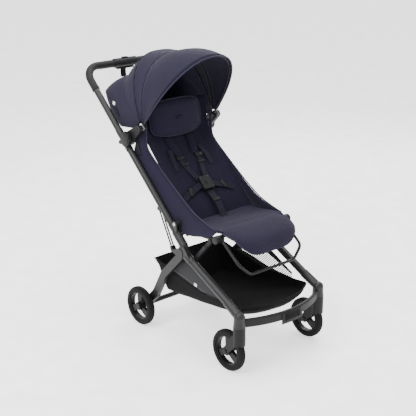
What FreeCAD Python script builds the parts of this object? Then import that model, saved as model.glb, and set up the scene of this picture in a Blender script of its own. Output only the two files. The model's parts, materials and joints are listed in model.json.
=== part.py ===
# Compact folding baby stroller, modelled as separate pieces in millimetres.
# Left is the rider's left (+X), the front of the stroller faces -Y, the floor is Z = 0.
# The origin is on the floor, in the middle of the stroller's footprint.
import FreeCAD, Part
import math
import os

# Frame lanes, measured from the centre plane
FRAME_HALF = 200.0          # centre plane of the side tubes
LANE_STEP = 24.0            # from the side tube plane in to the leg lane and the seat rails
LEG_LANE_IN = FRAME_HALF - LANE_STEP
RAIL_HALF = FRAME_HALF - LANE_STEP
SEAT_HALF = RAIL_HALF - 24.0
TUBE_D = 25.0
TUBE_WALL = 1.5
SLEEVE_D = TUBE_D + 2.6
NECK_D = 32.0
FRONT_LEG_D = 30.0
REAR_LEG_X = 17.0           # thickness of the rear leg across the stroller
REAR_LEG_W = 31.0           # width of the rear leg seen from the side
GRIP_D = TUBE_D + 5.0
RUN_FIT = 0.05              # radial clearance of every running pin
GAP = 0.4                   # face clearance beside moving faces

# Side tube line, seen from the side
SIDE_FOOT = (0.0, 404.0)
SIDE_ANGLE = 43.66
COLLAR_AT = 64.0
FOLD_AT = 82.0
FOLD_OFF = 28.0
HUB_AT = 477.0
HUB_OFF = 6.0
HUB_D = 58.0
HANDLE_HINGE_AT = 487.0
HANDLE_HINGE_OFF = -16.0
SLEEVE_END_AT = 533.0
BAR_AT = 837.0
BAR_CORNER = 65.0
GRIP_END_AT = BAR_AT - BAR_CORNER - 45.0
KNUCKLE_R = 8.0
PIN_D = 7.0

# Lower frame, seen from the side
APEX = (12.0, 373.5)
APEX_R = 20.5
FRONT_LEG_TOP = (-49.0, 353.0)
STEM_Y = -305.0
STEM_X = FRAME_HALF + 5.0
STEM_D = 45.0
WHEEL_D = 156.0
STEM_SEAM_Z = WHEEL_D + 32.0
STEM_ELBOW_Z = STEM_SEAM_Z + 35.5
FORK_END_Z = STEM_SEAM_Z - 72.0
FRONT_LEG_END = (-235.0, STEM_ELBOW_Z + 35.5)
BUMPER_FRONT_Y = -372.0
BUMPER_H = 33.0
BUMPER_T = 15.0
BUMPER_Z = STEM_SEAM_Z + 13.0

# Wheels
TYRE_T = 20.0
TYRE_W = 27.0
RIM_T = 6.0
RIM_W = 21.0
HUB_R = 17.0
SPOKE_W = 20.0
AXLE_D = 9.0
WHEEL_GAP = 2.0
FRONT_AXLE_Y = -252.0
REAR_AXLE_Y = 258.0
REAR_WHEEL_X = FRAME_HALF + 11.0
CHEEK_T = 4.5

# Seat
RAIL_REAR = (20.0, 455.0)
SEAT_HUB = (-154.0, 466.0)
SEAT_HUB_R = 15.0
SOCKET_D = 12.0
SOCKET_DEPTH = 14.0
RECLINE_AXIS = (12.0, 442.0)
BACK_ANGLE = 45.9
BACK_LENGTH = 398.0
BACK_T = 26.0
HEAD_W = 236.0
HEAD_H = 150.0
HEAD_T = 30.0
SOFT_GAP = 0.6

# Leg rest, seen from the side
LOOP_KNEE = (-252.0, 390.0)
LOOP_LOW = (-262.0, 347.0)

# Canopy, hung on the side hubs
CANOPY_AXIS = (262.0, 796.0)
CLOTH_T = 3.0
BOW_D = 7.0
CANOPY_HALF = FRAME_HALF - 16.0
VISOR_ANGLE = 127.0
VISOR_R = 350.0
DIP_ANGLE = 86.0
DIP_R = 268.0
REAR_BOW_ANGLE = 67.0
REAR_BOW_R = 286.0
HOOD_TO_BAR = 57.0
HOOD_HEM = (-6.0, 178.0, 6.5)        # angle, reach and squareness of the rear hem
HOOD_CORNER = (22.0, BAR_AT - HANDLE_HINGE_AT - HOOD_TO_BAR, 8.0)
HOOD_WAIST = (44.0, 256.0, 3.2)
HOOD_LOW = 5.0                       # where the cloth starts above the hubs

# Basket
BASKET_HALF = RAIL_HALF - 8.0
BASKET_WALL = 4.0
BASKET_FRONT = -302.0
BASKET_BOW = 56.0           # how far the front corners stand back from the middle

PART_DIR = "parts"
REAR_MOST_Y = SIDE_FOOT[0] + BAR_AT * math.cos(math.radians(SIDE_ANGLE)) + GRIP_D / 2
Y_SHIFT = -(BUMPER_FRONT_Y + REAR_MOST_Y) / 2


def vec(x, y, z):
    return FreeCAD.Vector(x, y, z)


def side(along, off=0.0):
    """Point (y, z) on the side tube line, with an offset towards the seat."""
    a = math.radians(SIDE_ANGLE)
    y = SIDE_FOOT[0] + along * math.cos(a) - off * math.sin(a)
    z = SIDE_FOOT[1] + along * math.sin(a) + off * math.cos(a)
    return (y, z)


def onward(point, angle, along, off=0.0):
    """Point reached from a start, going along an angle and to its left."""
    a = math.radians(angle)
    y = point[0] + along * math.cos(a) - off * math.sin(a)
    z = point[1] + along * math.sin(a) + off * math.cos(a)
    return (y, z)


def at(x, point):
    return vec(x, point[0], point[1])


def rod(p, q, d):
    axis = q - p
    return Part.makeCylinder(d / 2, axis.Length, p, axis)


def tube(p, q, d, wall):
    return rod(p, q, d).cut(rod(p, q, d - 2 * wall))


def disc(point, r, x0, x1):
    return Part.makeCylinder(r, x1 - x0, vec(x0, point[0], point[1]), vec(1, 0, 0))


def slab(points, x0, x1):
    """Flat plate across the stroller with an outline of (y, z) points."""
    loop = [vec(x0, y, z) for y, z in points]
    face = Part.Face(Part.makePolygon(loop + [loop[0]]))
    return face.extrude(vec(x1 - x0, 0, 0))


def arm(p, rp, q, rq, x0, x1):
    """Flat bar with round ends of two sizes between two (y, z) points."""
    dy = q[0] - p[0]
    dz = q[1] - p[1]
    length = math.hypot(dy, dz)
    base = math.degrees(math.atan2(dz, dy))
    lean = math.degrees(math.acos((rp - rq) / length))
    corners = [onward(p, base + lean, rp), onward(q, base + lean, rq)]
    corners += [onward(q, base - lean, rq), onward(p, base - lean, rp)]
    body = slab(corners, x0, x1)
    return body.fuse([disc(p, rp, x0, x1), disc(q, rq, x0, x1)]).removeSplitter()


def bent_wire(points, radii):
    """Straight runs joined by arcs of the given radii at the inner points."""
    edges = []
    start = points[0]
    for i in range(1, len(points) - 1):
        before = (points[i - 1] - points[i]).normalize()
        after = (points[i + 1] - points[i]).normalize()
        half = before.getAngle(after) / 2
        r = radii[i - 1]
        reach = r / math.tan(half)
        p = points[i] + before * reach
        q = points[i] + after * reach
        middle = (before + after).normalize()
        m = points[i] + middle * (r / math.sin(half) - r)
        if (p - start).Length > 1e-6:
            edges.append(Part.makeLine(start, p))
        edges.append(Part.Arc(p, m, q).toShape())
        start = q
    edges.append(Part.makeLine(start, points[-1]))
    return Part.Wire(edges)


def sweep(wire, d):
    first = wire.OrderedEdges[0]
    p = first.valueAt(first.FirstParameter)
    t = first.tangentAt(first.FirstParameter)
    ring = Part.Wire(Part.makeCircle(d / 2, p, t))
    return Part.Wire(wire.OrderedEdges).makePipeShell([ring], True, False)


def mirror(shape):
    return shape.mirror(vec(0, 0, 0), vec(1, 0, 0))


def pair(shape):
    return Part.makeCompound([shape, mirror(shape)])


def turned(shape, point, angle):
    out = shape.copy()
    out.rotate(vec(0, point[0], point[1]), vec(1, 0, 0), angle)
    return out


def save(name, shape):
    placed = shape.copy()
    placed.translate(vec(0, Y_SHIFT, 0))
    placed.exportStep(PART_DIR + "/" + name + ".step")


def save_pair(name, shape):
    save(name + "_left", shape)
    save(name + "_right", mirror(shape))


os.makedirs(PART_DIR, exist_ok=True)

fold_axis = side(FOLD_AT, FOLD_OFF)
handle_axis = side(HANDLE_HINGE_AT, HANDLE_HINGE_OFF)
lane_low = FRAME_HALF - 50.0
lane_high = FRAME_HALF + 50.0
lane_out = FRAME_HALF + NECK_D / 2
hub_split = LEG_LANE_IN + REAR_LEG_X + 2.6
rail_in = RAIL_HALF - 8.0
rail_out = RAIL_HALF + 8.0
fold_lane_in = FRAME_HALF - TUBE_D / 2 - GAP

# Apex castings: hub plate, neck and front leg socket, cleared for the rear leg hub
leg_angle = math.degrees(
    math.atan2(FRONT_LEG_END[1] - FRONT_LEG_TOP[1], FRONT_LEG_END[0] - FRONT_LEG_TOP[0])
)
neck_top = side(COLLAR_AT)
neck = rod(at(FRAME_HALF, SIDE_FOOT), at(FRAME_HALF, neck_top), NECK_D)
leg_back = onward(FRONT_LEG_TOP, leg_angle, -34.0)
leg_socket = rod(at(FRAME_HALF, leg_back), at(FRAME_HALF, FRONT_LEG_TOP), NECK_D)
crown = Part.makeSphere(NECK_D / 2, at(FRAME_HALF, SIDE_FOOT))
web_points = [onward(SIDE_FOOT, SIDE_ANGLE, 0, 12), onward(SIDE_FOOT, SIDE_ANGLE, 8, -13)]
web_points += [APEX, onward(leg_back, leg_angle, 22, 12), onward(leg_back, leg_angle, 22, -12)]
web = slab(web_points, hub_split, lane_out - 2)
apex = disc(APEX, APEX_R, hub_split, lane_out).fuse([neck, leg_socket, crown, web])
stay_top = side(178, -14)
stay_foot = (61.0, 371.0)
stay_r = 6.5
lug_r = 8.0
lug_gap = 0.3
lug_reach = math.hypot(stay_foot[0] - APEX[0], stay_foot[1] - APEX[1]) - stay_r - lug_gap - lug_r
lug_angle = math.degrees(math.atan2(stay_foot[1] - APEX[1], stay_foot[0] - APEX[0]))
apex = apex.fuse(arm(APEX, APEX_R - 4, onward(APEX, lug_angle, lug_reach), lug_r, hub_split, lane_out - 4))
apex = apex.cut(disc(APEX, APEX_R + 3.5, LEG_LANE_IN - 20, hub_split))
apex_pin_d = PIN_D + 4
apex = apex.cut(disc(APEX, apex_pin_d / 2, LEG_LANE_IN - 20, lane_out - 4))

# Fold hinge ears on the neck, one each side of the tube knuckle
ear_t = 7.0
knuckle_half = 5.0
ear_root = side(COLLAR_AT - 14)
ear = arm(fold_axis, KNUCKLE_R + 3, ear_root, 9, -ear_t / 2, ear_t / 2)
ear_shift = knuckle_half + GAP + ear_t / 2
for sign in (-1, 1):
    placed_ear = ear.copy()
    placed_ear.translate(vec(FRAME_HALF + sign * ear_shift, 0, 0))
    apex = apex.fuse(placed_ear)
ear_reach = knuckle_half + GAP + ear_t
collar_swing = rod(at(FRAME_HALF, neck_top), at(FRAME_HALF, side(FOLD_AT + 60)), NECK_D + 3)
apex = apex.cut(collar_swing)
apex = apex.cut(disc(fold_axis, PIN_D / 2, FRAME_HALF - 30, FRAME_HALF + 30))
knuckle_room = disc(fold_axis, KNUCKLE_R + 4.2, FRAME_HALF - knuckle_half - GAP,
                    FRAME_HALF + knuckle_half + GAP)
apex = apex.cut(knuckle_room)

# Accessory socket: a blind bore in the outer face of the seat hub
seat_hub = disc(SEAT_HUB, SEAT_HUB_R, rail_in, fold_lane_in)
socket = disc(SEAT_HUB, SOCKET_D / 2, fold_lane_in - SOCKET_DEPTH, fold_lane_in)
rail = rod(at(RAIL_HALF, RAIL_REAR), at(RAIL_HALF, SEAT_HUB), 15.0)
rail_root = rod(at(RAIL_HALF, RAIL_REAR), at(FRAME_HALF, side(COLLAR_AT - 24)), 15.0)
link_end = onward(FRONT_LEG_TOP, leg_angle, -6.0)
link_top = (SEAT_HUB[0] + 26.0, SEAT_HUB[1] - 12.0)
link = arm(link_top, 7.0, (link_end[0], link_end[1] + 4), 7.0, RAIL_HALF - 4, RAIL_HALF + 14)
rail_knob = Part.makeSphere(7.5, at(RAIL_HALF, RAIL_REAR))
fold_lane = slab([(-260.0, 430.0), (-60.0, 430.0), (-60.0, 560.0), (-260.0, 560.0)],
                 fold_lane_in, FRAME_HALF + 40)
link = link.cut(fold_lane)
link_pad = slab([link_top, SEAT_HUB, onward(SEAT_HUB, 90, 6), onward(link_top, 90, 14)],
                RAIL_HALF - 4, RAIL_HALF + 4)
rail = rail.fuse([seat_hub, rail_root, rail_knob, link, link_pad]).cut(socket)
knuckle_clear = disc(fold_axis, KNUCKLE_R + 5, rail_out + 3, lane_out)
leg_body = rod(at(FRAME_HALF, FRONT_LEG_TOP), at(FRAME_HALF, FRONT_LEG_END), FRONT_LEG_D)
rail = rail.cut(apex).cut(leg_body).cut(knuckle_clear).cut(disc(APEX, APEX_R + 3, lane_low, hub_split))
rail = max(rail.Solids, key=lambda s: s.Volume)
cross_d = 14.0
cross_front = (SEAT_HUB[0] + 34.0, SEAT_HUB[1] - 10.0)
cross_rear = (RECLINE_AXIS[0], RECLINE_AXIS[1])
rail_drop = arm(RAIL_REAR, 7.0, cross_rear, 9.0, rail_in + 1, rail_in + 8)
loop_half = RAIL_HALF - 18.0
loop_d = 11.0
loop_pivot = (SEAT_HUB[0] - 2.0, SEAT_HUB[1])
loop_pin = disc(loop_pivot, 4.0, loop_half - loop_d / 2 - 0.5, rail_in + 1)
rail = rail.fuse([rail_drop, loop_pin])
save_pair("seat_rail", rail)
cross_front_tube = rod(at(-rail_out, cross_front), at(rail_out, cross_front), cross_d)
cross_rear_tube = rod(at(-rail_in - 1, cross_rear), at(rail_in + 1, cross_rear), cross_d)
cross_front_tube = cross_front_tube.cut(rail).cut(mirror(rail))
cross_front_tube = max(cross_front_tube.Solids, key=lambda s: s.Volume)
cross_rear_tube = cross_rear_tube.cut(rail).cut(mirror(rail))
save("seat_cross_tubes", Part.makeCompound([cross_front_tube, cross_rear_tube]))

save_pair("apex_casting", apex)
apex_pin = disc(APEX, apex_pin_d / 2, LEG_LANE_IN - 3, lane_out - 4)
apex_pin = apex_pin.fuse(disc(APEX, apex_pin_d / 2 + 3, LEG_LANE_IN - 6, LEG_LANE_IN - GAP))
save("apex_pins", pair(apex_pin))
fold_pin = disc(fold_axis, PIN_D / 2, FRAME_HALF - ear_reach, FRAME_HALF + ear_reach)
pin_head = disc(fold_axis, PIN_D / 2 + 3, FRAME_HALF + ear_reach, FRAME_HALF + ear_reach + 2)
save("fold_pins", pair(fold_pin.fuse(pin_head)))

# Front legs and the front castings with their swivel pins
front_leg = tube(at(FRAME_HALF, FRONT_LEG_TOP), at(FRAME_HALF, FRONT_LEG_END), FRONT_LEG_D,
                 TUBE_WALL)
save_pair("front_leg", front_leg)
elbow = vec(STEM_X, STEM_Y, STEM_ELBOW_Z)
stem = rod(elbow, vec(STEM_X, STEM_Y, STEM_SEAM_Z), STEM_D - 4)
stem = stem.fuse(Part.makeCone(STEM_D / 2, STEM_D / 2 - 2, 20, vec(STEM_X, STEM_Y, STEM_SEAM_Z)))
shoulder = rod(at(FRAME_HALF, FRONT_LEG_END), elbow, NECK_D + 2)
shoulder = shoulder.fuse(Part.makeSphere(STEM_D / 2 - 2, elbow))
cap_end = onward(FRONT_LEG_END, leg_angle, -60.0)
seam_cut = rod(at(FRAME_HALF, FRONT_LEG_END), at(FRAME_HALF, cap_end), NECK_D + 30)
swivel_d = 12.0
swivel_len = 20.0
swivel_pin = rod(vec(STEM_X, STEM_Y, STEM_SEAM_Z - swivel_len), elbow, swivel_d)
casting = stem.fuse([shoulder, swivel_pin]).cut(seam_cut)

# Front bumper bar: an arc in plan between the two castings
bumper_mid_y = BUMPER_FRONT_Y + BUMPER_T / 2 + 3
bumper_end_y = STEM_Y - 2.0


def bow_plan(offset, z):
    ends = STEM_X - 6.0
    middle = vec(0, bumper_mid_y + offset, z)
    return Part.Arc(vec(-ends, bumper_end_y + offset, z), middle, vec(ends, bumper_end_y + offset, z))


def bow_bar(z0, z1, y0, y1):
    outer = bow_plan(y0, z0).toShape()
    inner = bow_plan(y1, z0).toShape()
    a0, a1 = outer.Vertexes[0].Point, outer.Vertexes[-1].Point
    b0, b1 = inner.Vertexes[0].Point, inner.Vertexes[-1].Point
    ring = Part.Wire([outer, Part.makeLine(a1, b1), inner.reversed(), Part.makeLine(b0, a0)])
    return Part.Face(ring).extrude(vec(0, 0, z1 - z0))


bumper = bow_bar(BUMPER_Z - BUMPER_H / 2, BUMPER_Z + BUMPER_H / 2, -BUMPER_T / 2, BUMPER_T / 2)
long_edges = [e for e in bumper.Edges if e.Length > FRAME_HALF]
bumper = bumper.makeFillet(5.5, long_edges)
bumper = bumper.cut(casting).cut(mirror(casting))
stem_room = rod(vec(STEM_X, STEM_Y, STEM_SEAM_Z - 30), vec(STEM_X, STEM_Y, STEM_SEAM_Z), STEM_D + 4)
bumper = bumper.cut(stem_room).cut(mirror(stem_room))
bumper = max(bumper.Solids, key=lambda s: s.Volume)
save("front_bumper", bumper)
save_pair("front_casting", casting)
plate_w = 104.0
plate_t = 3.0
plate = bow_bar(BUMPER_Z - BUMPER_H / 2 - 14, BUMPER_Z + BUMPER_H / 2 - 5,
                -BUMPER_T / 2 - plate_t, -BUMPER_T / 2)
plate = plate.common(Part.makeBox(plate_w, 400, 400, vec(-plate_w / 2, -600, 0)))
plate = plate.cut(bumper)
save("bumper_plate", plate)

# Caster forks: stem shell, wheel slot, swivel bore and axle in one turning body
wheel_r = WHEEL_D / 2
slot_half = TYRE_W / 2 + WHEEL_GAP
front_axle = (FRONT_AXLE_Y, wheel_r)
rear_axle = (REAR_AXLE_Y, wheel_r)
fork_top = STEM_SEAM_Z - GAP
fork = rod(vec(STEM_X, STEM_Y, FORK_END_Z), vec(STEM_X, STEM_Y, fork_top), STEM_D)
cheek_in = STEM_X - slot_half - CHEEK_T
cheek_out = STEM_X + slot_half + CHEEK_T
blade = arm(front_axle, 13.0, (STEM_Y + 6, FORK_END_Z + 22), 19.0, cheek_in, cheek_out)
fork = fork.fuse(blade)
slot = disc(front_axle, wheel_r + 5, STEM_X - slot_half, STEM_X + slot_half)
fork = fork.cut(slot)
bore = rod(vec(STEM_X, STEM_Y, STEM_SEAM_Z - swivel_len - 1), vec(STEM_X, STEM_Y, fork_top + 1),
           swivel_d + 2 * RUN_FIT)
fork = fork.cut(bore)
fork = fork.fuse(disc(front_axle, AXLE_D / 2, cheek_in - 2, cheek_out + 2))
fork = fork.fuse(disc(front_axle, 8, cheek_in - 3, cheek_in))
fork = fork.fuse(disc(front_axle, 8, cheek_out, cheek_out + 3))
save_pair("caster_fork", fork.removeSplitter())


def wheel_set(axle, x_mid, hub_half):
    """Tyre and spoked rim about an axle point, returned as two solids."""
    rim_r = wheel_r - TYRE_T
    outer = disc(axle, wheel_r, x_mid - TYRE_W / 2, x_mid + TYRE_W / 2)
    outer = outer.makeFillet(9.0, outer.Edges)
    tyre = outer.cut(disc(axle, rim_r, x_mid - TYRE_W, x_mid + TYRE_W))
    band = disc(axle, rim_r, x_mid - RIM_W / 2, x_mid + RIM_W / 2)
    band = band.cut(disc(axle, rim_r - RIM_T, x_mid - RIM_W, x_mid + RIM_W))
    rim = band.fuse(disc(axle, HUB_R, x_mid - hub_half, x_mid + hub_half))
    for k in range(3):
        far = onward(axle, 90 + 120 * k, rim_r - RIM_T / 2)
        spoke = arm(axle, SPOKE_W / 2, far, SPOKE_W / 2 + 4, x_mid - RIM_W / 2 + 4, x_mid + RIM_W / 2 - 4)
        rim = rim.fuse(spoke.common(disc(axle, rim_r - RIM_T / 2, x_mid - 30, x_mid + 30)))
    rim = rim.cut(disc(axle, AXLE_D / 2 + RUN_FIT, x_mid - 40, x_mid + 40))
    return tyre, rim.removeSplitter()


front_tyre, front_rim = wheel_set(front_axle, STEM_X, slot_half - GAP)
save_pair("front_tyre", front_tyre)
save_pair("front_rim", front_rim)
rear_tyre, rear_rim = wheel_set(rear_axle, REAR_WHEEL_X, TYRE_W / 2)
save_pair("rear_tyre", rear_tyre)
save_pair("rear_rim", rear_rim)

# Rear legs: hub disc on the apex pin, gently bent blade, foot and axle
lane_leg_out = LEG_LANE_IN + REAR_LEG_X
knee = (134.0, 248.0)
foot_top = (190.0, 146.0)
leg_hub = disc(APEX, APEX_R, LEG_LANE_IN, lane_leg_out + 2.2)
upper = arm(APEX, REAR_LEG_W / 2, knee, REAR_LEG_W / 2, LEG_LANE_IN, lane_leg_out)
lower = arm(knee, REAR_LEG_W / 2, foot_top, REAR_LEG_W / 2, LEG_LANE_IN, lane_leg_out)
foot = arm(foot_top, REAR_LEG_W / 2 + 1, rear_axle, 14.0, LEG_LANE_IN - 1, lane_leg_out + 1)
rear_leg = leg_hub.fuse([upper, lower]).cut(foot)
rear_leg = rear_leg.cut(disc(APEX, apex_pin_d / 2 + RUN_FIT, lane_low, lane_high)).removeSplitter()
rear_leg = max(rear_leg.Solids, key=lambda s: s.Volume)
save_pair("rear_leg", rear_leg)
axle_tube_d = 20.0
foot = foot.cut(disc(rear_axle, AXLE_D / 2, lane_low, lane_high))
save_pair("rear_foot", foot)
stub = disc(rear_axle, AXLE_D / 2, LEG_LANE_IN - 1, REAR_WHEEL_X + TYRE_W / 2 + GAP)
stub = stub.fuse(disc(rear_axle, HUB_R - 4, REAR_WHEEL_X + TYRE_W / 2 + GAP, FRAME_HALF + 28))
axle_bar = disc(rear_axle, axle_tube_d / 2, -LEG_LANE_IN + 1, LEG_LANE_IN - 1)
save("rear_axle", axle_bar.fuse([stub, mirror(stub)]).removeSplitter())

# Brake pedal: a lever clipped round the axle bar
pedal_ring = disc(rear_axle, axle_tube_d / 2 + 6, 96, 150)
pedal_blade = slab([onward(rear_axle, 20, 8), onward(rear_axle, 4, 44), onward(rear_axle, -4, 44),
                    onward(rear_axle, -24, 8)], 96, 150)
pedal = pedal_ring.fuse(pedal_blade).cut(disc(rear_axle, axle_tube_d / 2 + RUN_FIT, 90, 160))
save("brake_pedal", pedal.removeSplitter())

# Main side tubes with the fold knuckle
main_low = side(COLLAR_AT + 1)
main_high = side(HANDLE_HINGE_AT - 0.2)
main_tube = rod(at(FRAME_HALF, main_low), at(FRAME_HALF, main_high), TUBE_D)
low_sleeve = rod(at(FRAME_HALF, main_low), at(FRAME_HALF, side(FOLD_AT + 16)), SLEEVE_D)
high_sleeve = rod(at(FRAME_HALF, side(437)), at(FRAME_HALF, main_high), SLEEVE_D)
knuckle = arm(fold_axis, KNUCKLE_R + 3, side(FOLD_AT + 2), 10, FRAME_HALF - knuckle_half,
              FRAME_HALF + knuckle_half)
handle_knuckle = disc(handle_axis, KNUCKLE_R, FRAME_HALF - 5, FRAME_HALF + 5)
knuckle_side = [side(440, -40), side(HANDLE_HINGE_AT + 20, -40), side(HANDLE_HINGE_AT + 20, 30),
                side(440, 30)]
handle_knuckle = handle_knuckle.common(slab(knuckle_side, lane_low, lane_high))
main_tube = main_tube.fuse([low_sleeve, high_sleeve, knuckle, handle_knuckle])
main_tube = main_tube.cut(rod(at(FRAME_HALF, side(FOLD_AT + 20)), at(FRAME_HALF, side(436)),
                              TUBE_D - 2 * TUBE_WALL))
main_tube = main_tube.cut(disc(fold_axis, PIN_D / 2 + RUN_FIT, lane_low, lane_high))
handle_room = rod(at(FRAME_HALF, side(HANDLE_HINGE_AT)), at(FRAME_HALF, side(HANDLE_HINGE_AT + 40)), 34)
handle_room = handle_room.cut(disc(handle_axis, KNUCKLE_R + 0.01, FRAME_HALF - 5, FRAME_HALF + 5))
hinge_pin_d = 5.0
main_tube = main_tube.cut(handle_room)
fork_knuckles = []
for x0 in (FRAME_HALF - 12.5, FRAME_HALF + 5.4):
    fork_knuckles.append(disc(handle_axis, KNUCKLE_R, x0, x0 + 7.1))
knuckle_clear_main = [disc(handle_axis, KNUCKLE_R + 0.6, FRAME_HALF - 14, FRAME_HALF - 5),
                      disc(handle_axis, KNUCKLE_R + 0.6, FRAME_HALF + 5, FRAME_HALF + 14)]
main_tube = main_tube.cut(knuckle_clear_main)
handle_pin = disc(handle_axis, hinge_pin_d / 2, FRAME_HALF - 12.5, FRAME_HALF + 12.5)
main_tube = main_tube.fuse(handle_pin)
save_pair("main_tube", main_tube)

# Side hubs: round cap outside, housing inside that carries the canopy and the cross tube
hub_front = side(HUB_AT - 4, 24)
cap = disc(hub_front, HUB_D / 2, FRAME_HALF + 3, FRAME_HALF + 20)
cap = cap.makeFillet(3.0, cap.Edges)
hub_block = arm(hub_front, HUB_D / 2 - 3, CANOPY_AXIS, 15, FRAME_HALF - 14, FRAME_HALF + 3)
housing = hub_block.fuse(cap).cut(rod(at(FRAME_HALF, side(300)), at(FRAME_HALF, side(620)), SLEEVE_D))
housing = max(housing.Solids, key=lambda s: s.Volume)
above = slab([side(HANDLE_HINGE_AT - 0.2, -60), side(620, -60), side(620, 15.5),
              side(HANDLE_HINGE_AT - 0.2, 15.5)], lane_low, lane_high)
housing = housing.cut(above)
housing = max(housing.Solids, key=lambda s: s.Volume)
canopy_pin = disc(CANOPY_AXIS, 5.0, FRAME_HALF - 40, FRAME_HALF - 8)
housing = housing.fuse(canopy_pin)
save("hub_housings", pair(housing))
cross_half = LEG_LANE_IN + 2
cross_d2 = 12.0
cross_root = side(134, 0)
cross_deep = side(134, -38)
cross_points = [at(-FRAME_HALF, cross_root), at(-cross_half, cross_root), at(-cross_half, cross_deep)]
cross_points += [at(cross_half, cross_deep), at(cross_half, cross_root), at(FRAME_HALF, cross_root)]
cross_tube = sweep(bent_wire(cross_points, [9, 24, 24, 9]), cross_d2)
cross_tube = cross_tube.cut(rod(at(FRAME_HALF, side(100)), at(FRAME_HALF, side(430)), TUBE_D))
cross_tube = cross_tube.cut(rod(at(-FRAME_HALF, side(100)), at(-FRAME_HALF, side(430)), TUBE_D))
cross_tube = max(cross_tube.Solids, key=lambda s: s.Volume)
save("back_cross_tube", cross_tube)

# Stay rods behind the side tubes; their feet rest against the apex when open
stays = rod(at(FRAME_HALF - 5, stay_top), at(FRAME_HALF - 5, stay_foot), 6.0)
stays = stays.fuse(rod(at(FRAME_HALF + 5, stay_top), at(FRAME_HALF + 5, stay_foot), 6.0))
stay_shoe = arm(stay_foot, stay_r, onward(stay_foot, 60, 10), stay_r, FRAME_HALF - 9, FRAME_HALF + 9)
stay_head = arm(stay_top, 7.0, side(176, -2), 8.0, FRAME_HALF - 9, FRAME_HALF + 9)
stays = stays.fuse([stay_shoe, stay_head]).cut(main_tube)
stays = stays.cut(rod(at(FRAME_HALF, side(120)), at(FRAME_HALF, side(430)), TUBE_D))
stays = max(stays.Solids, key=lambda s: s.Volume)
save("stay_rods", pair(stays))

# Handle frame
handle_low = side(HANDLE_HINGE_AT + 0.2)
grip_low = side(GRIP_END_AT)
bar = side(BAR_AT)


def handle_wire(start):
    points = [at(-FRAME_HALF, start), at(-FRAME_HALF, bar), at(FRAME_HALF, bar), at(FRAME_HALF, start)]
    return bent_wire(points, [BAR_CORNER, BAR_CORNER])


core = sweep(handle_wire(handle_low), TUBE_D)
core_hole = sweep(handle_wire(side(SLEEVE_END_AT + 6)), TUBE_D - 2 * TUBE_WALL)
handle_tube = core.cut(core_hole)
for shape in (fork_knuckles + [mirror(k) for k in fork_knuckles]):
    handle_tube = handle_tube.fuse(shape)
below = slab([side(400, -5.5), side(HANDLE_HINGE_AT + 0.2, -5.5), side(HANDLE_HINGE_AT + 0.2, 40),
              side(400, 40)], -250, 250)
handle_tube = handle_tube.cut(below)
middle_room = disc(handle_axis, KNUCKLE_R + 0.6, FRAME_HALF - 5.4, FRAME_HALF + 5.4)
handle_tube = handle_tube.cut(middle_room).cut(mirror(middle_room))
handle_bore = disc(handle_axis, hinge_pin_d / 2 + RUN_FIT, lane_low, lane_high)
handle_tube = handle_tube.cut(handle_bore).cut(mirror(handle_bore))
main_room = rod(at(FRAME_HALF, side(430)), at(FRAME_HALF, side(HANDLE_HINGE_AT)), SLEEVE_D + 0.8)
handle_tube = handle_tube.cut(main_room).cut(mirror(main_room)).removeSplitter()
save("handle_tube", handle_tube)
sleeve = rod(at(FRAME_HALF, handle_low), at(FRAME_HALF, side(SLEEVE_END_AT)), SLEEVE_D)
sleeve = sleeve.cut(rod(at(FRAME_HALF, handle_low), at(FRAME_HALF, side(SLEEVE_END_AT)), TUBE_D))
sleeve = sleeve.cut(disc(handle_axis, KNUCKLE_R + 0.6, lane_low, lane_high))
save("handle_sleeves", pair(max(sleeve.Solids, key=lambda s: s.Volume)))
grip = sweep(handle_wire(grip_low), GRIP_D).cut(sweep(handle_wire(grip_low), TUBE_D))
save("handle_grip", grip)

# Fold control on the bar: housing, button, squeeze trigger and carry strap
module_w = 112.0
grip_bar = rod(at(-120, bar), at(120, bar), GRIP_D)
module = rod(at(-module_w / 2, bar), at(module_w / 2, bar), GRIP_D + 7)
module = module.makeFillet(3.0, module.Edges)
module = module.cut(grip_bar)
button_y, button_z = bar[0], bar[1] + GRIP_D / 2
button_room = Part.makeBox(26.5, 12.5, 6, vec(-13.25, button_y - 6.25, button_z + 1.0))
module = module.cut(button_room)
trigger_room = Part.makeBox(84.5, 14.5, 5.0, vec(-42.25, bar[0] - 7.25, bar[1] - GRIP_D / 2 - 5.4))
module = module.cut(trigger_room)
save("fold_module", module)
button = Part.makeBox(26, 12, 4.6, vec(-13, button_y - 6, button_z + 2.4))
save("fold_button", button.makeFillet(1.2, button.Edges))
trigger = Part.makeBox(84, 14, 7.0, vec(-42, bar[0] - 7, bar[1] - GRIP_D / 2 - 10.0))
trigger = trigger.makeFillet(1.5, trigger.Edges)
save("squeeze_trigger", trigger)
strap_top = bar[1] - GRIP_D / 2 - 12.0
strap = Part.makeBox(28, 5, 40, vec(-14, bar[0] + 8.0, strap_top - 34))
strap = strap.cut(module)
strap = strap.cut(grip_bar)
save("carry_strap", max(strap.Solids, key=lambda s: s.Volume))

# Seat: pan, back, side panels and headrest
pan_front = (-140.0, 486.0)
pan = slab([(-8.0, 459.0), pan_front, (pan_front[0] - 4, pan_front[1] - 12),
            (cross_front[0], cross_front[1] + cross_d / 2 + SOFT_GAP), (-10.0, 446.0)],
           -SEAT_HALF, SEAT_HALF)
save("seat_pan", pan.makeFillet(3.0, pan.Edges))


def back_point(along, off):
    return onward((10.0, 452.0), BACK_ANGLE, along, off)


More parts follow.
